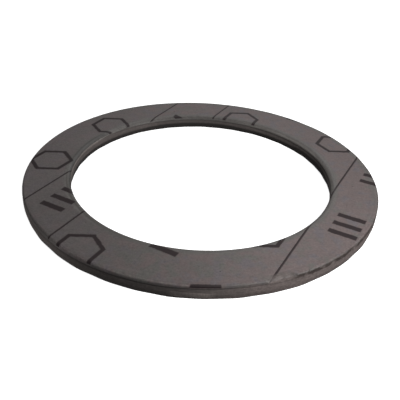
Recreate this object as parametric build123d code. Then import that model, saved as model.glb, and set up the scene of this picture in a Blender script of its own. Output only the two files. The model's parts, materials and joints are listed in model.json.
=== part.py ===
from build123d import *

import os

# A flat sealing ring, die-cut in one piece from graphite sheet.
# It lies on Z = 0 with its axis on Z and its printed face up. Lengths are in millimetres.

# The ring: the passage that it seals round, the width of its sealing face from the bore
# to the outer wall, and the thickness of the sheet that it is cut from
bore_diameter = 57.0
face_width = 10.0
sheet_thickness = 3.0

# Top edge of each wall, where the die drags the face down in an arc before it cuts
outer_roll_width = 0.66
outer_roll_depth = 0.50
bore_roll_width = 1.40
bore_roll_depth = 0.56

# The seam along each wall: a small notch between the cut lip above it and the torn sheet
# below it
outer_seam_depth = 0.72
bore_seam_depth = 0.90
seam_inset = 0.17
seam_half_height = 0.11

# How far the lip stands back from the widest part of the wall
lip_inset = 0.05

# The torn sheet swells below the seam to the widest part of the wall
swell_inset = 0.08
swell_height = 0.45

# The bottom edge, which draws in under the wall
foot_inset = 0.20
foot_height = 0.90

outer_radius = bore_diameter / 2 + face_width
middle_radius = bore_diameter / 2 + face_width / 2


def half_section(wall_radius, outwards, roll_width, roll_depth, seam_depth):
    """The section from the middle circle to one wall: outwards is 1, or -1 for the bore."""

    def wall_point(inset, height):
        return (wall_radius - outwards * inset, height)

    seam_height = sheet_thickness - seam_depth
    swell_top = seam_height - seam_half_height
    roll_start = wall_point(lip_inset + roll_width, sheet_thickness)
    roll_end = wall_point(lip_inset, sheet_thickness - roll_depth)
    with BuildSketch(Plane.XZ) as section:
        with BuildLine():
            wall = Polyline(
                (middle_radius, 0),
                wall_point(foot_inset, 0),
                wall_point(0, foot_height),
                wall_point(0, swell_top - swell_height),
                wall_point(swell_inset, swell_top),
                wall_point(seam_inset, seam_height),
                wall_point(lip_inset, seam_height + seam_half_height),
                roll_end,
            )
            TangentArc(roll_start, roll_end, tangent=(outwards, 0))
            Polyline(roll_start, (middle_radius, sheet_thickness), wall @ 0)
        make_face()
    return section.sketch


def gasket_ring():
    """Both halves of the section, turned about the ring's axis."""
    outer_half = half_section(
        outer_radius, 1, outer_roll_width, outer_roll_depth, outer_seam_depth
    )
    bore_half = half_section(
        bore_diameter / 2, -1, bore_roll_width, bore_roll_depth, bore_seam_depth
    )
    ring = revolve(outer_half + bore_half, axis=Axis.Z)
    ring.label = "gasket_ring"
    return ring


os.makedirs("parts", exist_ok=True)
export_step(gasket_ring(), "parts/gasket_ring.step")
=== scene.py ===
"""Looks of the graphite gasket: a die-cut ring with its grain, print and worn edge, on white."""

import json
import math

import bpy
import numpy as np
from mathutils import Matrix, Vector, noise


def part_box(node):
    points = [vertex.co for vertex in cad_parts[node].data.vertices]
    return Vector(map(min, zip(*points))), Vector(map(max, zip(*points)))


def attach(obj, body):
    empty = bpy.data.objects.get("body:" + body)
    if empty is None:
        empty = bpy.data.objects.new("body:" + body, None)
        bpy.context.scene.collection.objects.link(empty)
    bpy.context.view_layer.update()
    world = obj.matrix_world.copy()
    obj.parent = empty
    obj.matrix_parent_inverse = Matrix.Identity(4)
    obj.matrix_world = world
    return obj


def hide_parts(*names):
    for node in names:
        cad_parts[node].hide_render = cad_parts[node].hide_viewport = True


MM = 0.001

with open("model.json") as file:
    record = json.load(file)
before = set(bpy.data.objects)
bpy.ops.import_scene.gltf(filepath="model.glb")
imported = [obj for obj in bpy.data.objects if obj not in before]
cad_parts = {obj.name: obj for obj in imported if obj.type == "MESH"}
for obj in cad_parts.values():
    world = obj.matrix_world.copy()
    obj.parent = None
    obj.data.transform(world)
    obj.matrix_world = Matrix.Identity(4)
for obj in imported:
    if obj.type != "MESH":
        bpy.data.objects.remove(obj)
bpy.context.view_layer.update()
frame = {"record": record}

# The ring's sizes in millimetres, from the frame. The frame's solid is faceted, so one side of
# its box may lie a little nearer than the other
ring_low, ring_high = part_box("gasket_ring")
bore = next(mount for mount in frame["record"]["mounts"] if mount["name"] == "bore")
OUTER_RADIUS = min(-ring_low.x, ring_high.x, -ring_low.y, ring_high.y) / MM
THICKNESS = ring_high.z / MM
BORE_RADIUS = bore["dims"]["r_mm"]
MIDDLE_RADIUS = (OUTER_RADIUS + BORE_RADIUS) / 2

# The cut edge in millimetres: insets from the wall's proudest line, heights above the bottom,
# and the least height of the lip where the rolled edge comes down to the seam
FOOT_INSET = 0.20
FOOT_HEIGHT = 0.90
SWELL_INSET = 0.08
SWELL_HEIGHT = 0.45
SEAM_INSET = 0.17
SEAM_RISE = 0.11
LIP_INSET = 0.05
LEAST_LIP = 0.02

# The strip of the bottom face beside the foot, which has mesh steps of its own
FOOT_STRIP = 0.60

# What differs between the outside and the bore: the depths under the top face of the seam and
# of the roll, how far they swing, how often in a turn and at which angle they are shallowest,
# in degrees, and the roll's last slope in degrees
OUTER_EDGE = {
    "side": 1, "seam_depth": 0.72, "seam_swing": 0.29, "swings": 2, "shallow_at": -32,
    "roll_depth": 0.36, "roll_swing": 0.12, "roll_slope": 74,
}
BORE_EDGE = {
    "side": -1, "seam_depth": 0.75, "seam_swing": 0.29, "swings": 1, "shallow_at": -118,
    "roll_depth": 0.46, "roll_swing": 0.18, "roll_slope": 44,
}

# How far the cut wanders round the ring, the seed of each curve and its waves in a turn: the
# seam's depth and the foot's inset in millimetres, the roll's slope as a share
SEAM_WANDER, SEAM_SEED, SEAM_WAVES = 0.06, 13, (5, 9, 17, 28)
ROLL_WANDER, ROLL_SEED, ROLL_WAVES = 0.06, 3, (3, 7, 12, 19, 31)
FOOT_WANDER, FOOT_SEED, FOOT_WAVES = 0.06, 23, (4, 11, 23, 41)

# The stretch of the outer top edge that has been crushed flat: its middle and half its length in
# degrees, how steeply its ends fade, its ripples, the share that it takes off the roll's slope,
# what it adds to the roll's depth and how far in from the wall its lumps reach
CRUSH_ANGLE = -67.5
CRUSH_HALF_SPAN = 4.5
CRUSH_FADE = 1.4
CRUSH_RIPPLE, CRUSH_RIPPLES = 0.1, 110
CRUSH_SLOPE = 0.35
CRUSH_DEPTH = 0.55
CRUSH_WIDTH = 1.6

# Two nicks beside it, as angles in degrees and sizes in millimetres. Their middles lie a little
# in from the wall and a little under the top face
NICKS = [(-59.2, 0.35), (-45.5, 0.25)]
NICK_DEPTH = 0.16
NICK_INSET = 0.2
NICK_DROP = 0.1

# Relief in millimetres: its depth, and the size of the beds, tears, waves and lumps in it. The
# beds and the tears of the wall each have a share in its relief
WALL_RELIEF = 0.035
BED_LENGTH, BED_HEIGHT, BED_WEIGHT = 2.6, 0.20, 0.55
TEAR_LENGTH, TEAR_HEIGHT, TEAR_WEIGHT = 0.55, 0.60, 0.45
FACE_RELIEF, FACE_WAVE = 0.014, 4.0
LUMP_RELIEF, LUMP_SIZE = 0.07, 0.5

# Where the relief lies, in millimetres: the wall's above the bottom edge and near the proudest
# line, and the face's in the topmost part
BOTTOM_MARGIN = 0.02
WALL_REACH = 0.4
TOP_REACH = 0.25

# Mesh steps round the ring
STEPS_ROUND = 1080
STEP_ANGLES = 2 * math.pi * np.arange(STEPS_ROUND) / STEPS_ROUND


def wander(seed, waves):
    """A closed curve round the ring, about -1 to 1: cosines of so many waves, in seeded phases."""
    phases = np.random.default_rng(seed).uniform(0, 2 * math.pi, len(waves))
    curves = [np.cos(wave * STEP_ANGLES + phase) for wave, phase in zip(waves, phases)]
    return sum(curves) / math.sqrt(len(waves))


def crush_share():
    """One where the outer edge is crushed, fading to nothing at the ends of that stretch."""
    offset = np.degrees(STEP_ANGLES) - (CRUSH_ANGLE % 360)
    reach = np.clip(CRUSH_FADE * (1 - (offset / CRUSH_HALF_SPAN) ** 2), 0, 1)
    ripple = CRUSH_RIPPLE * np.cos(np.radians(offset) * CRUSH_RIPPLES)
    return reach * (1 - CRUSH_RIPPLE + ripple)


def stretch(start, end, steps):
    """Evenly spaced points from start up to, but not including, end."""
    share = np.arange(steps)[:, None] / steps
    return np.array(start) * (1 - share) + np.array(end) * share


def rolled_edge(slope, depth, steps):
    """From the wall up to the face: an arc that starts at a slope and meets the top face level."""
    radius = depth / (1 - math.cos(slope))
    angle = slope * (1 - np.arange(steps) / steps)
    inset = LIP_INSET + radius * (math.sin(slope) - np.sin(angle))
    height = THICKNESS - radius * (1 - np.cos(angle))
    return np.stack([inset, height], axis=1)


def half_section(roll_slope, roll_depth, seam_depth, foot_inset):
    """Inset and height, from the middle of the bottom face up the wall to the middle of the top.

    The last number of each stretch is its mesh steps.
    """
    half_face = (OUTER_RADIUS - BORE_RADIUS) / 2
    lip_top = THICKNESS - roll_depth
    roll_width = roll_depth / math.tan(roll_slope / 2)
    lip_foot = min(THICKNESS - seam_depth + SEAM_RISE, lip_top - LEAST_LIP)
    seam_height = lip_foot - SEAM_RISE
    swell_top = seam_height - SEAM_RISE
    belly_top = swell_top - SWELL_HEIGHT
    strip_inset = foot_inset + FOOT_STRIP
    return np.concatenate([
        stretch((half_face, 0), (strip_inset, 0), 5),
        stretch((strip_inset, 0), (foot_inset, 0), 2),
        stretch((foot_inset, 0), (0, FOOT_HEIGHT), 6),
        stretch((0, FOOT_HEIGHT), (0, belly_top), 4),
        stretch((0, belly_top), (SWELL_INSET, swell_top), 4),
        stretch((SWELL_INSET, swell_top), (SEAM_INSET, seam_height), 1),
        stretch((SEAM_INSET, seam_height), (LIP_INSET, lip_foot), 1),
        stretch((LIP_INSET, lip_foot), (LIP_INSET, lip_top), 2),
        rolled_edge(roll_slope, roll_depth, 10),
        stretch((LIP_INSET + roll_width, THICKNESS), (half_face, THICKNESS), 9),
    ])


def wall_sections(edge, crush):
    """A half section of the outer or the bore edge for each step round the ring."""
    side = edge["side"]
    swing = np.cos(edge["swings"] * (STEP_ANGLES - math.radians(edge["shallow_at"])))
    seam_depth = edge["seam_depth"] - edge["seam_swing"] * swing
    seam_depth += SEAM_WANDER * wander(SEAM_SEED + side, SEAM_WAVES)
    roll_depth = edge["roll_depth"] - edge["roll_swing"] * swing + CRUSH_DEPTH * crush
    roll_slope = math.radians(edge["roll_slope"]) * np.ones(STEPS_ROUND)
    roll_slope *= 1 + ROLL_WANDER * wander(ROLL_SEED + side, ROLL_WAVES)
    roll_slope *= 1 - CRUSH_SLOPE * crush
    foot_inset = FOOT_INSET + FOOT_WANDER * wander(FOOT_SEED + side, FOOT_WAVES)
    values = zip(roll_slope, roll_depth, seam_depth, foot_inset)
    return np.array([half_section(*step_values) for step_values in values])


def wall_relief(angle, radius, height, side):
    """How far the torn wall stands back at a point, from 0 to 1: beds along the cut, and tears.

    The last coordinate of each noise picks a pattern of its own.
    """
    along = angle * radius
    beds = noise.noise(Vector((along / BED_LENGTH, height / BED_HEIGHT, 7.0 * side)))
    tears = noise.noise(Vector((along / TEAR_LENGTH, height / TEAR_HEIGHT, 31.0 + side)))
    return min(max(0.5 + BED_WEIGHT * beds + TEAR_WEIGHT * tears, 0), 1)


def unevenness(x, y, size, layer):
    """Noise of a size in millimetres, from 0 to 1. Each layer is a pattern of its own."""
    return 0.5 + 0.5 * noise.noise(Vector((x / size, y / size, layer)))


def worn_point(angle, radius, height, crush):
    """A point of a section as it lies on the worn ring, with the wall torn and the face uneven."""
    side = 1 if radius > MIDDLE_RADIUS else -1
    inset = OUTER_RADIUS - radius if side > 0 else radius - BORE_RADIUS
    if BOTTOM_MARGIN < height < THICKNESS - TOP_REACH and inset < WALL_REACH:
        radius -= side * WALL_RELIEF * wall_relief(angle, radius, height, side)
    x, y = radius * math.cos(angle), radius * math.sin(angle)
    if height > THICKNESS - TOP_REACH:
        height -= FACE_RELIEF * unevenness(x, y, FACE_WAVE, 3.0)
        near_edge = max(0, 1 - inset / CRUSH_WIDTH) if side > 0 else 0
        height -= LUMP_RELIEF * crush * near_edge * unevenness(x, y, LUMP_SIZE, 11.0)
    for nick_angle, nick_size in NICKS:
        turn = math.remainder(angle - math.radians(nick_angle), 2 * math.pi)
        from_middle = math.hypot(
            turn * OUTER_RADIUS,
            OUTER_RADIUS - radius - NICK_INSET,
            height - THICKNESS + NICK_DROP,
        )
        away = from_middle / nick_size
        if away < 1:
            height -= NICK_DEPTH * (1 - away**2)
    return x, y, height


def ring_points():
    """The ring's surface as a grid: steps round by points of the closed section."""
    crush = crush_share()
    outer = wall_sections(OUTER_EDGE, crush)
    # The bore's half runs back down, without the middle of the bottom face, which outer holds
    inner = wall_sections(BORE_EDGE, np.zeros(STEPS_ROUND))[:, :0:-1]
    middle = np.full((STEPS_ROUND, 1), MIDDLE_RADIUS)
    top = np.full((STEPS_ROUND, 1), THICKNESS)
    radius = np.concatenate(
        [OUTER_RADIUS - outer[:, :, 0], middle, BORE_RADIUS + inner[:, :, 0]], axis=1
    )
    height = np.concatenate([outer[:, :, 1], top, inner[:, :, 1]], axis=1)
    points = np.empty((*radius.shape, 3))
    for step, angle in enumerate(STEP_ANGLES):
        for place in range(radius.shape[1]):
            points[step, place] = worn_point(
                angle, radius[step, place], height[step, place], crush[step]
            )
    return points


def grid_mesh(name, points):
    """A mesh on a grid of points that closes on itself both ways."""
    rounds, across = points.shape[:2]
    index = np.arange(rounds * across).reshape(rounds, across)
    ahead, beside = np.roll(index, -1, axis=0), np.roll(index, -1, axis=1)
    corner = np.roll(ahead, -1, axis=1)
    faces = np.stack([index, ahead, corner, beside], axis=-1).reshape(-1, 4)
    mesh = bpy.data.meshes.new(name)
    mesh.from_pydata(points.reshape(-1, 3).tolist(), [], faces.tolist())
    mesh.shade_smooth()
    mesh.update()
    return mesh


def gasket_ring():
    """The ring as a fine mesh in place of the frame's solid."""
    ring = bpy.data.objects.new("gasket", grid_mesh("gasket", ring_points() * MM))
    bpy.context.scene.collection.objects.link(ring)
    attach(ring, "root")
    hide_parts("gasket_ring")
    return ring


class Signal:
    """A value in a node tree. Arithmetic on it adds Math nodes."""

    def __init__(self, tree, socket):
        self.tree = tree
        self.socket = socket

    def node_math(self, operation, *values):
        node = self.tree.nodes.new("ShaderNodeMath")
        node.operation = operation
        for slot, value in zip(node.inputs, values):
            connect(self.tree, value, slot)
        return Signal(self.tree, node.outputs[0])

    def math(self, operation, *others):
        return self.node_math(operation, self, *others)

    def __add__(self, other):
        return self.math("ADD", other)

    def __sub__(self, other):
        return self.math("SUBTRACT", other)

    def __rsub__(self, other):
        return self.node_math("SUBTRACT", other, self)

    def __mul__(self, other):
        return self.math("MULTIPLY", other)

    def __truediv__(self, other):
        return self.math("DIVIDE", other)

    def __abs__(self):
        return self.math("ABSOLUTE")

    __radd__ = __add__
    __rmul__ = __mul__

    def smaller(self, other):
        return self.math("MINIMUM", other)

    def larger(self, other):
        return self.math("MAXIMUM", other)

    def rise(self, none_at, full_at):
        """0 at and beyond none_at, 1 at and beyond full_at, and smooth between, either way round."""
        node = self.tree.nodes.new("ShaderNodeMapRange")
        node.interpolation_type = "SMOOTHSTEP"
        connect(self.tree, self, node.inputs["Value"])
        falls = full_at < none_at
        node.inputs["From Min"].default_value = min(none_at, full_at)
        node.inputs["From Max"].default_value = max(none_at, full_at)
        node.inputs["To Min"].default_value = 1 if falls else 0
        node.inputs["To Max"].default_value = 0 if falls else 1
        return Signal(self.tree, node.outputs["Result"])


def connect(tree, value, slot):
    """Links a signal to a slot, or sets the slot to a number."""
    if isinstance(value, Signal):
        tree.links.new(value.socket, slot)
    else:
        slot.default_value = value


def combine(tree, x, y, z):
    """A vector of three signals or numbers."""
    node = tree.nodes.new("ShaderNodeCombineXYZ")
    for slot, value in zip(node.inputs, (x, y, z)):
        connect(tree, value, slot)
    return node.outputs[0]


def mix_colour(tree, share, low, high):
    """From the low colour at share 0 to the high one at 1. A colour is a tuple or a socket."""
    node = tree.nodes.new("ShaderNodeMix")
    node.data_type = "RGBA"
    slots = {slot.identifier: slot for slot in node.inputs}
    connect(tree, share, slots["Factor_Float"])
    for name, colour in (("A_Color", low), ("B_Color", high)):
        if isinstance(colour, tuple):
            slots[name].default_value = (*colour, 1)
        else:
            tree.links.new(colour, slots[name])
    return next(out for out in node.outputs if out.identifier == "Result_Color")


def scale_vector(tree, vector, factor):
    """A vector or a colour times a number or a signal."""
    node = tree.nodes.new("ShaderNodeVectorMath")
    node.operation = "SCALE"
    tree.links.new(vector, node.inputs[0])
    connect(tree, factor, node.inputs["Scale"])
    return node.outputs[0]


# Stretches round the ring, in degrees: the middle, how far it reaches and how far at full share
# Painted highlights on the bore's lip
PAINTED_HIGHLIGHT_LIPS = [(30, 60, 18), (158, 24, 10)]
# Painted shade on the bore's edge at the front left
SHADED_BORE_LIP = (-142, 36, 22)
# Painted light on the outer lip
PAINTED_LIT_LIP = (-110, 30, 18)
# Painted light on a band round the bore, which lies nearer to it in the next stretch
PAINTED_LIT_RIM = (-162, 36, 18)
NEARER_RIM = (182, 24, 10)
# A painted highlight along the bore's lip
PAINTED_HIGHLIGHT_LINE = (168, 23, 13)
FAR_RIM = (57, 88, 60)
# Painted light on a stretch of the outer wall
PAINTED_LIT_WALL = (-50, 36, 22)
# A dark line along the outer seam: partly its dark joint, partly painted shade in its notch
BROKEN_SEAM = (-42, 31, 14)
SCUFF = (-91, 6.5, 3)

# The same, with how much higher the painted shade at the foot of the bore's wall reaches, in
# millimetres
HIGHER_FOOT_SHADES = [((95, 30, 12), 0.18), ((22, 18, 9), 0.40)]

# The same, with how far from the bore the rolled edge is darker, in millimetres
DARKER_ROLLS = [((162, 20, 12), 1.35), ((184, 22, 12), 0.60)]

# The same, with how much lighter or darker the ring is there, as a share: painted light and shade
# round the ring
FACE_SHADES = [((-120, 53, 5), -0.16), ((125, 50, 25), 0.09), ((-45, 45, 15), 0.02)]
OUTER_SHADES = [((-146, 24, 9), 0.90), ((-104, 18, 7), -0.38), ((-72, 24, 8), 0.12)]
BORE_SHADES = [
    ((12, 12, 5), -0.12), ((36, 20, 8), 0.24), ((95, 28, 12), -0.14), ((137, 26, 14), 0.14),
]

# How far the seam wavers, the band round the ring's middle where the bore's looks give way to
# the outside's, and the lowest part of the wall where the bottom face's looks end, in millimetres
RAGGEDNESS = 0.10
SIDE_BLEND = 0.1
BOTTOM_FADE = (0.0, 0.04)


class Place:
    """Where a point of the ring lies and what is near it, as signals in millimetres and radians."""

    def __init__(self, tree):
        self.tree = tree
        metres = tree.nodes.new("ShaderNodeTexCoord").outputs["Object"]
        self.point = scale_vector(tree, metres, 1 / MM)
        split = tree.nodes.new("ShaderNodeSeparateXYZ")
        tree.links.new(self.point, split.inputs[0])
        self.x, self.y, self.z = (Signal(tree, out) for out in split.outputs)
        self.radius = (self.x * self.x + self.y * self.y).math("SQRT")
        self.from_outside = OUTER_RADIUS - self.radius
        self.from_bore = self.radius - BORE_RADIUS
        self.angle = self.y.math("ARCTAN2", self.x)
        self.arc = self.angle * MIDDLE_RADIUS
        self.outside = self.radius.rise(MIDDLE_RADIUS - SIDE_BLEND, MIDDLE_RADIUS + SIDE_BLEND)
        self.in_bore = 1 - self.outside
        self.off_bottom = self.z.rise(*BOTTOM_FADE)
        self.ragged = (self.noise(size=1.2, detail=3) - 0.5) * RAGGEDNESS
        outer_seam = self.seam_height(OUTER_EDGE)
        bore_seam = self.seam_height(BORE_EDGE)
        seam_step = self.outside * (bore_seam - outer_seam)
        self.above_seam = self.z + self.ragged - bore_seam + seam_step

    def seam_height(self, edge):
        """The height of one wall's seam, which swings round the ring as in the mesh."""
        turn = (self.angle - math.radians(edge["shallow_at"])) * edge["swings"]
        return turn.math("COSINE") * edge["seam_swing"] + (THICKNESS - edge["seam_depth"])

    def noise(self, size, detail=2, roughness=0.5, point=None):
        """Noise of about the given size in millimetres, centred on 0.5, here or at a point."""
        node = self.tree.nodes.new("ShaderNodeTexNoise")
        vector = combine(self.tree, *point) if point else self.point
        self.tree.links.new(vector, node.inputs["Vector"])
        node.inputs["Scale"].default_value = 1 / size
        node.inputs["Detail"].default_value = detail
        node.inputs["Roughness"].default_value = roughness
        return Signal(self.tree, node.outputs[0])

    def under_top(self, none_at, full_at):
        """0 and 1 at two depths under the top face, and smooth between."""
        return self.z.rise(THICKNESS - none_at, THICKNESS - full_at)

    def near(self, reach):
        """One at the middle of a stretch of the ring, and nothing beyond its far reach."""
        middle, far_reach, full_reach = (math.radians(angle) for angle in reach)
        return (self.angle - middle).math("COSINE").rise(math.cos(far_reach), math.cos(full_reach))

    def shade(self, shades):
        """The factor by which the stretches of painted light and shade make the ring lighter or
        darker here.
        """
        return 1 + sum(self.near(reach) * share for reach, share in shades)


# The print, in millimetres: rows of plain shapes across the whole sheet, cut through by the
# ring's edges. Rows of outlined hexagons take turns with rows of three bars, and thin rules
# border one row in four
PRINT_TURN = math.radians(62)
PRINT_SHIFT = (0.0, 4.0)
COLUMN_PITCH = 22.0
ROW_PITCH = 13.0
OUTLINE_SIZE = 3.9
OUTLINE_STROKE = 0.85
BARS = 3
BAR_PITCH, BAR_WIDTH, BAR_LENGTH = 3.1, 1.35, 5.6
ROWS_PER_RULE = 4
RULED_ROW = 1
RULE_WIDTH = 0.40

# Keeps the rules off the other rows: each adds a quarter of this or more to their distance
RULE_CLEARANCE = 8.0

# How far the ink bleeds in millimetres, how thin it gets as a share and at which values of its
# noise, and between which depths under the top face it stops
INK_BLEED = 0.15
INK_THINNING = 0.12
INK_THIN_PLACES = (0.42, 0.20)
INK_FADE = (0.6, 0.4)


def ink_mask(at):
    """One where the sheet is printed, and a little less where the ink is thin."""
    bleed = (at.noise(size=0.7, detail=3, roughness=0.6) - 0.5) * (2 * INK_BLEED)
    x = at.x + bleed + PRINT_SHIFT[0]
    y = at.y + bleed + PRINT_SHIFT[1]
    along = x * math.cos(PRINT_TURN) + y * math.sin(PRINT_TURN)
    across = y * math.cos(PRINT_TURN) - x * math.sin(PRINT_TURN)
    row = (across / ROW_PITCH).math("FLOOR")
    odd_row = row.math("FLOORED_MODULO", 2)
    rise = (across / ROW_PITCH - row - 0.5) * ROW_PITCH
    column = along / COLUMN_PITCH + odd_row * 0.5
    run = (column.math("FRACT") - 0.5) * COLUMN_PITCH

    # Each shape as a distance in millimetres, which is below 0 where it is printed
    flank = abs(run) * math.cos(math.radians(30)) + abs(rise) * math.sin(math.radians(30))
    hexagon = abs(flank.larger(abs(rise)) - OUTLINE_SIZE) - OUTLINE_STROKE / 2

    bar_run = abs((run / BAR_PITCH + 0.5).math("FRACT") - 0.5) * BAR_PITCH - BAR_WIDTH / 2
    bars = bar_run.larger(abs(rise) - BAR_LENGTH / 2).larger(abs(run) - BARS / 2 * BAR_PITCH)

    from_ruled_row = abs((row / ROWS_PER_RULE).math("FRACT") - RULED_ROW / ROWS_PER_RULE)
    rule = ROW_PITCH / 2 - abs(rise) - RULE_WIDTH + from_ruled_row * RULE_CLEARANCE

    shape = (hexagon * (1 - odd_row) + bars * odd_row).smaller(rule)
    thin = at.noise(size=1.6, detail=4, roughness=0.7).rise(*INK_THIN_PLACES)
    coverage = 1 - thin * INK_THINNING
    return shape.rise(INK_BLEED, -INK_BLEED) * at.under_top(*INK_FADE) * coverage


# Colours, linear
FACE_WARM = (0.138, 0.108, 0.105)
FACE_COOL = (0.116, 0.109, 0.101)
FACE_BLUE = (0.123, 0.107, 0.113)
RIM_COLOUR = (0.112, 0.106, 0.099)
CUT_COLOUR = (0.100, 0.086, 0.081)
LIP_COLOUR = (0.080, 0.072, 0.066)
# The colour of the painted highlights on the bore's lip
PAINTED_HIGHLIGHT_COLOUR = (0.210, 0.195, 0.182)
# Worn places, and painted light on one stretch of the outer wall
WORN_AND_LIT_COLOUR = (0.126, 0.102, 0.096)
SMEAR_COLOUR = (0.050, 0.036, 0.032)
# The seam's dark line: partly its dark joint, partly painted shade
BROKEN_COLOUR = (0.036, 0.026, 0.023)
INK_COLOUR = (0.016, 0.008, 0.009)

# The skin's brightness, and what each kind of unevenness adds to it
SKIN_TONE = 0.22
MOTTLE_SHARE = 0.14
STREAK_SHARE = 0.12
GRAIN_SHARE = 0.96
CLOUD_SHARE = 0.34
RING_SHARE = 0.38

# Cool and bluish patches: the values of their noise between which they come in, how much warmer
# the skin is over all, towards the right and towards the back of the ring, and the places in
# millimetres between which they grow calm towards the left, and by how much
COOL_PATCHES = (0.40, 0.60)
BLUE_PATCHES = (0.50, 0.66)
WARMTH, WARMTH_RIGHT, WARMTH_BACK = 0.04, 0.09, 0.03
CALM_LEFT, CALM_SHARE = (-6.0, -26.0), 0.5

# Looks of the face near its edges, by their distances from the wall in millimetres: the worn
# rims, the fine rings along the outside and the bore, and the start and end of the band of
# painted light round the bore, which lies nearer to it in one stretch
RIM_FADE, RIM_SHARE, RIM_RAGGEDNESS = (1.9, 1.1), 0.8, 3
OUTER_RINGS, BORE_RINGS = (4.5, 1.0), (2.4, 1.2)
PAINTED_LIT_RIM_START, PAINTED_LIT_RIM_END = (0.90, 1.15), (1.85, 1.40)
PAINTED_LIT_RIM_NEARER = 0.45
PAINTED_LIT_RIM_SHARE = 0.26


def skin_colour(at, grain, streaks):
    """The calendered skin: patches of colour, mottle, streaks, grain, worn rims, painted light and
    shade round the ring, and a band of painted light round the bore.
    """
    patches = at.noise(size=3.2, detail=4, roughness=0.6, point=(at.y, at.z, at.x))
    bloom = at.noise(size=2.4, detail=3, roughness=0.6, point=(at.z, at.x, at.y))
    warmth = at.x * (WARMTH_RIGHT / MIDDLE_RADIUS) + at.y * (WARMTH_BACK / MIDDLE_RADIUS) + WARMTH
    cool = (patches - warmth).rise(*COOL_PATCHES)
    blue = bloom.rise(*BLUE_PATCHES)
    calm = at.x.rise(*CALM_LEFT) * CALM_SHARE
    skin = mix_colour(at.tree, cool + (0.5 - cool) * calm, FACE_WARM, FACE_COOL)
    skin = mix_colour(at.tree, blue + (0.5 - blue) * calm, skin, FACE_BLUE)

    bore_rim = (at.from_bore + at.ragged * RIM_RAGGEDNESS).rise(*RIM_FADE)
    outer_rim = (at.from_outside + at.ragged * RIM_RAGGEDNESS).rise(*RIM_FADE) * at.near(FAR_RIM)
    skin = mix_colour(at.tree, bore_rim.larger(outer_rim) * RIM_SHARE, skin, RIM_COLOUR)

    mottle = at.noise(size=9.0, detail=3, roughness=0.6)
    clouds = at.noise(size=1.1, detail=3, roughness=0.65)
    rings = at.noise(size=0.34, point=(at.arc / 25, at.radius, at.z)) - 0.5
    near_edge = at.from_outside.rise(*OUTER_RINGS).larger(at.from_bore.rise(*BORE_RINGS))
    tone = SKIN_TONE + mottle * MOTTLE_SHARE + streaks * STREAK_SHARE
    tone = tone + grain * GRAIN_SHARE + clouds * CLOUD_SHARE
    # Painted light and shade round the ring
    tone = (tone + rings * near_edge * RING_SHARE) * at.shade(FACE_SHADES)

    # A band of painted light round the bore
    from_rim = at.from_bore + at.near(NEARER_RIM) * PAINTED_LIT_RIM_NEARER
    painted_lit_rim = from_rim.rise(*PAINTED_LIT_RIM_START) * from_rim.rise(*PAINTED_LIT_RIM_END)
    painted_lit_rim = painted_lit_rim * at.near(PAINTED_LIT_RIM)
    return scale_vector(at.tree, skin, tone * (1 + painted_lit_rim * PAINTED_LIT_RIM_SHARE))


# Specks: their spacing in millimetres, the spread and the least of their sizes and the softness
# of their edges as shares of it, and how dark they are
SPECK_SPACING = 2.6
SPECK_SPREAD, SPECK_LEAST = 0.22, -0.065
SPECK_EDGE = 0.02
SPECK_SHARE = 0.45


def speck_mask(at):
    """Dark specks pressed into the skin. Where their size falls below 0, there are none."""
    specks = at.tree.nodes.new("ShaderNodeTexVoronoi")
    specks.inputs["Scale"].default_value = 1 / SPECK_SPACING
    at.tree.links.new(at.point, specks.inputs["Vector"])
    size = at.noise(size=5.0, detail=1) * SPECK_SPREAD + SPECK_LEAST
    from_speck = Signal(at.tree, specks.outputs["Distance"]) - size
    return from_speck.rise(SPECK_EDGE, -SPECK_EDGE) * SPECK_SHARE


# The wall's brightness, what beds and tears add to it, what its seam (a dark joint with painted
# shade in its notch) and the painted shade at its foot take off, and how much lighter the painted
# bounce light makes the lower part of the outer wall and how much lighter its scuffed place is
WALL_TONE = 0.55
BED_SHARE = 0.55
TEAR_SHARE = 0.35
SEAM_SHADE = 0.20
BORE_FOOT_SHADE = 0.72
OUTER_FOOT_SHADE = 0.12
PAINTED_BOUNCE_SHARE = 0.14
SCUFF_SHARE = 0.32

# Where they fade, in millimetres: from the seam, and above the bottom face. The foot's and the
# scuff's upper edges are ragged. The beds are worn between two values of their noise
SEAM_FADE = (0.24, 0.02)
FOOT_SHADE_FADE = (1.35, 0.85)
PAINTED_BOUNCE_FADE = (1.75, 1.35)
SCUFF_TOP, SCUFF_BOTTOM = (1.60, 1.35), (0.25, 0.45)
WALL_RAGGEDNESS = 2
WORN_BEDS = (0.5, 0.8)


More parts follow.
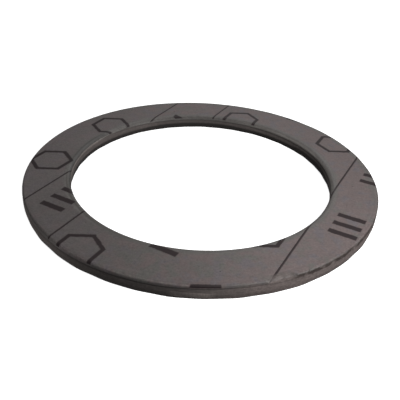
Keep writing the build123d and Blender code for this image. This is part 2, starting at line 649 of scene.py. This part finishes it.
def wall_colour(at, beds, tears, painted_lit_wall):
    """The torn wall: beds of flakes along it, a dark seam with painted shade in its notch, painted
    shade at its foot, painted bounce light low on the outer wall, painted light on one stretch and
    one scuffed place.
    """
    ragged_height = at.z + at.ragged * WALL_RAGGEDNESS
    seam = abs(at.above_seam).rise(*SEAM_FADE)
    # Painted shade at the wall's foot, next to the floor
    foot_rise = sum(at.near(reach) * rise for reach, rise in HIGHER_FOOT_SHADES) * at.in_bore
    foot = (ragged_height - foot_rise).rise(*FOOT_SHADE_FADE)
    foot_shade = BORE_FOOT_SHADE - at.outside * (BORE_FOOT_SHADE - OUTER_FOOT_SHADE)
    # Painted bounce light from the floor on the lower outer wall
    painted_bounce = at.z.rise(*PAINTED_BOUNCE_FADE) * at.outside
    scuffed = ragged_height.rise(*SCUFF_TOP) * at.z.rise(*SCUFF_BOTTOM)
    scuffed = scuffed * at.near(SCUFF) * at.outside

    # The seam darkens the wall: its dark joint, with painted shade in its notch
    tone = (WALL_TONE + beds * BED_SHARE + tears * TEAR_SHARE) * (1 - seam * SEAM_SHADE)
    tone = tone * (1 - foot * foot_shade) * (1 + painted_bounce * PAINTED_BOUNCE_SHARE)
    tone = tone * (1 + scuffed * (tears + SCUFF_SHARE))
    # Worn beds, and painted light on one stretch of the outer wall
    worn_and_lit = (beds.rise(*WORN_BEDS) + painted_lit_wall).smaller(1)
    return scale_vector(at.tree, mix_colour(at.tree, worn_and_lit, CUT_COLOUR, WORN_AND_LIT_COLOUR), tone)


# The lip's share of its dark colour in the bore and outside, what the stretch of painted light
# takes off, the share of painted shade on the bore's edge at the front left, and how much lighter
# the painted light and the painted highlights make it
BORE_LIP_SHADE = 0.25
OUTER_LIP_SHADE = 0.60
PAINTED_LIT_LIP_SHADE = 0.60
SHADED_BORE_LIP_SHARE = 0.85
PAINTED_LIT_ROLL_SHARE = 0.38
PAINTED_HIGHLIGHT_SHARE = 0.45

# Where they fade, in millimetres under the top face, and from the bore for the painted shade on the
# bore's edge
ROLL_FADE = (0.02, 0.12)
PAINTED_LIT_LIP_FADE = (0.90, 0.60)
PAINTED_HIGHLIGHT_FADE = (0.15, 0.60)
SHADED_BORE_LIP_FADE = (1.15, 0.85)


def lip_colour(at, skin, lip):
    """The skin with the cut lip over the seam: dark and lined, with painted light, painted shade and
    painted highlights in places.
    """
    on_roll = at.under_top(*ROLL_FADE)
    # Painted light on the outer lip and roll
    painted_lit_lip = at.near(PAINTED_LIT_LIP) * at.outside * at.under_top(*PAINTED_LIT_LIP_FADE)
    # Painted shade near the bore's edge at the front left
    shaded_bore_lip = at.near(SHADED_BORE_LIP) * at.in_bore * at.from_bore.rise(*SHADED_BORE_LIP_FADE)
    lip_shade = BORE_LIP_SHADE + at.outside * (OUTER_LIP_SHADE - BORE_LIP_SHADE)
    dark = lip * (lip_shade - painted_lit_lip * PAINTED_LIT_LIP_SHADE)
    colour = mix_colour(at.tree, dark.larger(shaded_bore_lip * SHADED_BORE_LIP_SHARE), skin, LIP_COLOUR)

    lines = at.noise(size=0.20, detail=3, roughness=0.6, point=(at.arc / 6, at.z, at.radius)) - 0.5
    colour = scale_vector(at.tree, colour, 1 + lines * on_roll)
    colour = scale_vector(at.tree, colour, 1 + painted_lit_lip * on_roll * PAINTED_LIT_ROLL_SHARE)

    # Painted highlights on the bore's lip
    painted_highlight = lip * at.under_top(*PAINTED_HIGHLIGHT_FADE) * at.in_bore
    painted_highlight = painted_highlight * sum(at.near(reach) for reach in PAINTED_HIGHLIGHT_LIPS)
    return mix_colour(at.tree, painted_highlight * PAINTED_HIGHLIGHT_SHARE, colour, PAINTED_HIGHLIGHT_COLOUR)


# The broken dark line along the seam, partly its dark joint and partly painted shade in its
# notch, in millimetres: how far under it, how far it wobbles, where it fades off its middle and
# under the top face, and the values of its noise between which it breaks
BROKEN_DROP = 0.02
BROKEN_WOBBLE = 0.8
BROKEN_FADE = (0.54, 0.24)
BROKEN_TOP_FADE = (0.02, 0.14)
BROKEN_PLACES = (0.30, 0.48)


def broken_seam_mask(at):
    """The dark, broken line along the outer wall's seam at the front right: partly its dark joint,
    partly painted shade in its notch.
    """
    unbroken = at.noise(size=1.8, point=(at.arc, at.z, 0.0)).rise(*BROKEN_PLACES)
    wobble = (at.noise(size=1.3, point=(at.arc, 0.0, 5.0)) - 0.5) * BROKEN_WOBBLE
    line = abs(at.above_seam + BROKEN_DROP + wobble).rise(*BROKEN_FADE)
    line = line * at.under_top(*BROKEN_TOP_FADE)
    return line * at.near(BROKEN_SEAM) * at.outside * unbroken


# How the look of the crushed stretch fades, in millimetres: half the length of its core, where
# it is full, then in from the wall, and above the bottom face. Last come its worn and its
# scraped share, and the values of the scrapes' noise between which they show
CRUSH_CORE = 1.2
CRUSH_FACE_FADE = (1.7, 0.9)
CRUSH_WALL_FADE = (1.2, 2.2)
CRUSH_WORN_SHARE = 0.60
SCRAPE_SHARE = 0.7
SCRAPES = (0.55, 0.70)


def crush_mask(at):
    """One where the outer edge is crushed."""
    from_middle = abs(at.angle * OUTER_RADIUS - math.radians(CRUSH_ANGLE) * OUTER_RADIUS)
    along = from_middle.rise(math.radians(CRUSH_HALF_SPAN) * OUTER_RADIUS, CRUSH_CORE)
    return along * at.from_outside.rise(*CRUSH_FACE_FADE) * at.z.rise(*CRUSH_WALL_FADE)


# The left part of the bore's edge: how much darker its roll is, the share of the roll's width
# that is fully so, how much lighter the painted highlight makes its lip, and the depths under the
# top face in millimetres where the darker roll ends and where the painted highlight on the lip
# ends and starts
DARKER_ROLL_SHADE = 0.50
DARKER_ROLL_CORE = 0.6
PAINTED_HIGHLIGHT_LINE_SHARE = 1.05
DARKER_ROLL_FADE = (0.55, 0.42)
PAINTED_HIGHLIGHT_LINE_BOTTOM, PAINTED_HIGHLIGHT_LINE_TOP = (1.00, 0.82), (0.40, 0.52)


def bore_edge_colour(at, colour):
    """The colour with the left part of the bore's edge: a darker roll over a painted highlight on
    the lip.
    """
    darker_roll = sum(
        at.near(reach) * at.from_bore.rise(width, width * DARKER_ROLL_CORE) for reach, width in DARKER_ROLLS
    )
    darker_roll = darker_roll.smaller(1) * at.in_bore * at.under_top(*DARKER_ROLL_FADE)
    colour = scale_vector(at.tree, colour, 1 - darker_roll * DARKER_ROLL_SHADE)
    # A painted highlight along the lip
    painted_highlight_line = at.under_top(*PAINTED_HIGHLIGHT_LINE_BOTTOM) * at.under_top(*PAINTED_HIGHLIGHT_LINE_TOP)
    painted_highlight_line = painted_highlight_line * at.near(PAINTED_HIGHLIGHT_LINE) * at.in_bore
    return scale_vector(at.tree, colour, 1 + painted_highlight_line * PAINTED_HIGHLIGHT_LINE_SHARE)


# Where the walls' painted light and shade and their flecks fade, in millimetres under the top
# face and from the outside for the frayed edge of the stretch of painted light, and how strong
# the flecks are elsewhere and there
WALL_FADE = (0.15, 0.45)
FRAYED_FADE = (1.1, 0.4)
FLECK_SHARE = 0.55
WARM_FLECK_SHARE = 1.20


def shaded_colour(at, colour, painted_lit_wall):
    """The colour with painted light and shade on the walls round the ring, and flecked."""
    # Painted light and shade on the walls round the ring
    on_wall = at.under_top(*WALL_FADE) * at.off_bottom
    bore_shade = at.shade(BORE_SHADES)
    wall_shade = bore_shade + at.outside * (at.shade(OUTER_SHADES) - bore_shade)
    colour = scale_vector(at.tree, colour, 1 + (wall_shade - 1) * on_wall)

    flecks = at.noise(size=0.50, detail=3, roughness=0.65, point=(at.arc, at.z, at.radius)) - 0.5
    frayed = at.from_outside.rise(*FRAYED_FADE) * painted_lit_wall * at.off_bottom
    fleck_share = FLECK_SHARE + painted_lit_wall * (WARM_FLECK_SHARE - FLECK_SHARE)
    return scale_vector(at.tree, colour, 1 + flecks * on_wall.larger(frayed) * fleck_share)


# Where the torn cut and the lip fade, in millimetres: above the seam, in from the wall, and
# under the top face
CUT_TOP_FADE = (0.22, 0.06)
CUT_INSET_FADE = (0.45, 0.35)
LIP_BOTTOM_FADE = (0.08, 0.25)
LIP_TOP_FADE = (0.01, 0.08)

# Heights of the relief that is too fine for the mesh, in millimetres
GRAIN_HEIGHT = 0.016
STREAK_HEIGHT = 0.010
SPECK_DEPTH = 0.03
INK_HEIGHT = 0.004
BED_RELIEF = 0.07
TEAR_RELIEF = 0.05
SCRAPE_RELIEF = 0.04

SPECULAR_LEVEL = 0.4


def graphite():
    """Graphite sheet: calendered grey skin, dark torn walls, worn edges with painted light, shade
    and highlights, and ink.
    """
    material = bpy.data.materials.new("graphite_sheet")
    material.use_nodes = True
    tree = material.node_tree
    shader = tree.nodes["Principled BSDF"]
    at = Place(tree)

    # Textures that both the colour and the relief come from
    grain = at.noise(size=0.42, detail=3, roughness=0.7)
    slant = (at.x / 9 + at.y / 30, at.y - at.x * 0.3, at.z)
    streaks = at.noise(size=0.55, detail=3, roughness=0.6, point=slant)
    beds = at.noise(size=0.16, detail=3, roughness=0.6, point=(at.arc / 14, at.z, at.radius / 3))
    tears = at.noise(size=0.35, detail=3, roughness=0.6, point=(at.arc, at.z / 3, at.radius / 3))
    scrape = at.noise(size=0.30, detail=4, roughness=0.7, point=(at.arc / 5, at.z, at.radius))
    speck = speck_mask(at)
    ink = ink_mask(at)

    # Regions: the torn wall under the seam, the lip over it, the crushed edge, the stretch of wall
    # with painted light
    inset = at.from_outside.smaller(at.from_bore)
    cut = at.above_seam.rise(*CUT_TOP_FADE) * inset.rise(*CUT_INSET_FADE) * at.off_bottom
    lip = at.above_seam.rise(*LIP_BOTTOM_FADE) * at.under_top(*LIP_TOP_FADE)
    crushed = crush_mask(at)
    # A stretch of painted light on the outer wall
    painted_lit_wall = at.near(PAINTED_LIT_WALL) * at.outside

    skin = scale_vector(tree, skin_colour(at, grain, streaks), 1 - speck)
    colour = lip_colour(at, skin, lip)
    colour = mix_colour(tree, ink, colour, INK_COLOUR)
    colour = mix_colour(tree, cut, colour, wall_colour(at, beds, tears, painted_lit_wall))
    colour = mix_colour(tree, broken_seam_mask(at), colour, BROKEN_COLOUR)
    colour = mix_colour(tree, crushed * CRUSH_WORN_SHARE, colour, WORN_AND_LIT_COLOUR)
    scraped = crushed * scrape.rise(*SCRAPES) * SCRAPE_SHARE
    colour = mix_colour(tree, scraped, colour, SMEAR_COLOUR)
    colour = bore_edge_colour(at, colour)
    colour = shaded_colour(at, colour, painted_lit_wall)
    tree.links.new(colour, shader.inputs["Base Color"])

    # Grain, the torn cut and ink are duller, and streaks and the lip shine more
    roughness = 0.60 + grain * 0.12 - streaks * 0.06 + cut * 0.22 - lip * 0.10 + ink * 0.05
    tree.links.new(roughness.socket, shader.inputs["Roughness"])
    shader.inputs["Specular IOR Level"].default_value = SPECULAR_LEVEL

    skin_height = grain * GRAIN_HEIGHT + streaks * STREAK_HEIGHT
    skin_height = skin_height - speck * SPECK_DEPTH + ink * INK_HEIGHT
    wall_height = beds * BED_RELIEF + tears * TEAR_RELIEF
    height = skin_height + (wall_height - skin_height) * cut + scrape * crushed * SCRAPE_RELIEF
    bump = tree.nodes.new("ShaderNodeBump")
    bump.inputs["Distance"].default_value = MM
    tree.links.new(height.socket, bump.inputs["Height"])
    tree.links.new(bump.outputs[0], shader.inputs["Normal"])
    return material


# Camera: its distance from the ring's middle in outer radii, its angles in degrees and its lens
# in millimetres, all from the photo's outlines
CAMERA_DISTANCE = 3.233
CAMERA_ELEVATION = 30.86
CAMERA_TILT = 57.22
CAMERA_ROLL = 2.64
CAMERA_LENS = 49.55
CAMERA_CLIP_START = 0.005


def make_camera():
    distance = CAMERA_DISTANCE * OUTER_RADIUS * MM
    elevation = math.radians(CAMERA_ELEVATION)
    place = Vector((0, -distance * math.cos(elevation), distance * math.sin(elevation)))
    tilt = Matrix.Rotation(math.radians(CAMERA_TILT), 4, "X")
    roll = Matrix.Rotation(math.radians(CAMERA_ROLL), 4, "Z")
    camera = bpy.data.objects.new("camera", bpy.data.cameras.new("camera"))
    camera.data.lens = CAMERA_LENS
    camera.data.clip_start = CAMERA_CLIP_START
    camera.matrix_world = Matrix.Translation(place) @ tilt @ roll
    bpy.context.scene.collection.objects.link(camera)
    bpy.context.scene.camera = camera


def area_light(name, azimuth, elevation, distance, size, power):
    """A disk lamp that faces the ring, placed by its angles in degrees and distance in metres."""
    side, lift = math.radians(azimuth), math.radians(elevation)
    level = math.cos(lift)
    place = distance * Vector((level * math.cos(side), level * math.sin(side), math.sin(lift)))
    light = bpy.data.objects.new(name, bpy.data.lights.new(name, "AREA"))
    light.data.shape = "DISK"
    light.data.size = size
    light.data.energy = power
    light.location = place
    light.rotation_mode = "QUATERNION"
    light.rotation_quaternion = (-place).to_track_quat("-Z", "Y")
    bpy.context.scene.collection.objects.link(light)


def make_lights():
    """A key lamp at the front right, a lamp at the back, and a weak even light all round."""
    area_light("key", azimuth=-40, elevation=38, distance=0.135, size=0.077, power=0.145)
    area_light("back", azimuth=80, elevation=38, distance=0.240, size=0.077, power=0.098)
    world = bpy.data.worlds.new("world")
    world.use_nodes = True
    background = world.node_tree.nodes["Background"]
    background.inputs["Color"].default_value = (1, 1, 1, 1)
    background.inputs["Strength"].default_value = 0.21
    bpy.context.scene.world = world


# The floor: half its side in metres, and how strongly it shines, so that it shows white
FLOOR_REACH = 3.0
FLOOR_GLOW = 0.9


def make_floor():
    """A white floor that the walls of the ring don't catch light from."""
    reach = FLOOR_REACH
    corners = [(-reach, -reach, 0), (reach, -reach, 0), (reach, reach, 0), (-reach, reach, 0)]
    mesh = bpy.data.meshes.new("floor")
    mesh.from_pydata(corners, [], [(0, 1, 2, 3)])
    material = bpy.data.materials.new("floor")
    material.use_nodes = True
    shader = material.node_tree.nodes["Principled BSDF"]
    shader.inputs["Base Color"].default_value = (0.85, 0.85, 0.85, 1)
    shader.inputs["Roughness"].default_value = 0.9
    shader.inputs["Emission Color"].default_value = (1, 1, 1, 1)
    shader.inputs["Emission Strength"].default_value = FLOOR_GLOW
    mesh.materials.append(material)
    floor = bpy.data.objects.new("floor", mesh)
    floor.visible_diffuse = False
    floor.visible_glossy = False
    bpy.context.scene.collection.objects.link(floor)


ring = gasket_ring()
ring.data.materials.append(graphite())
make_camera()
make_lights()
make_floor()
bpy.context.scene.view_settings.view_transform = "Standard"
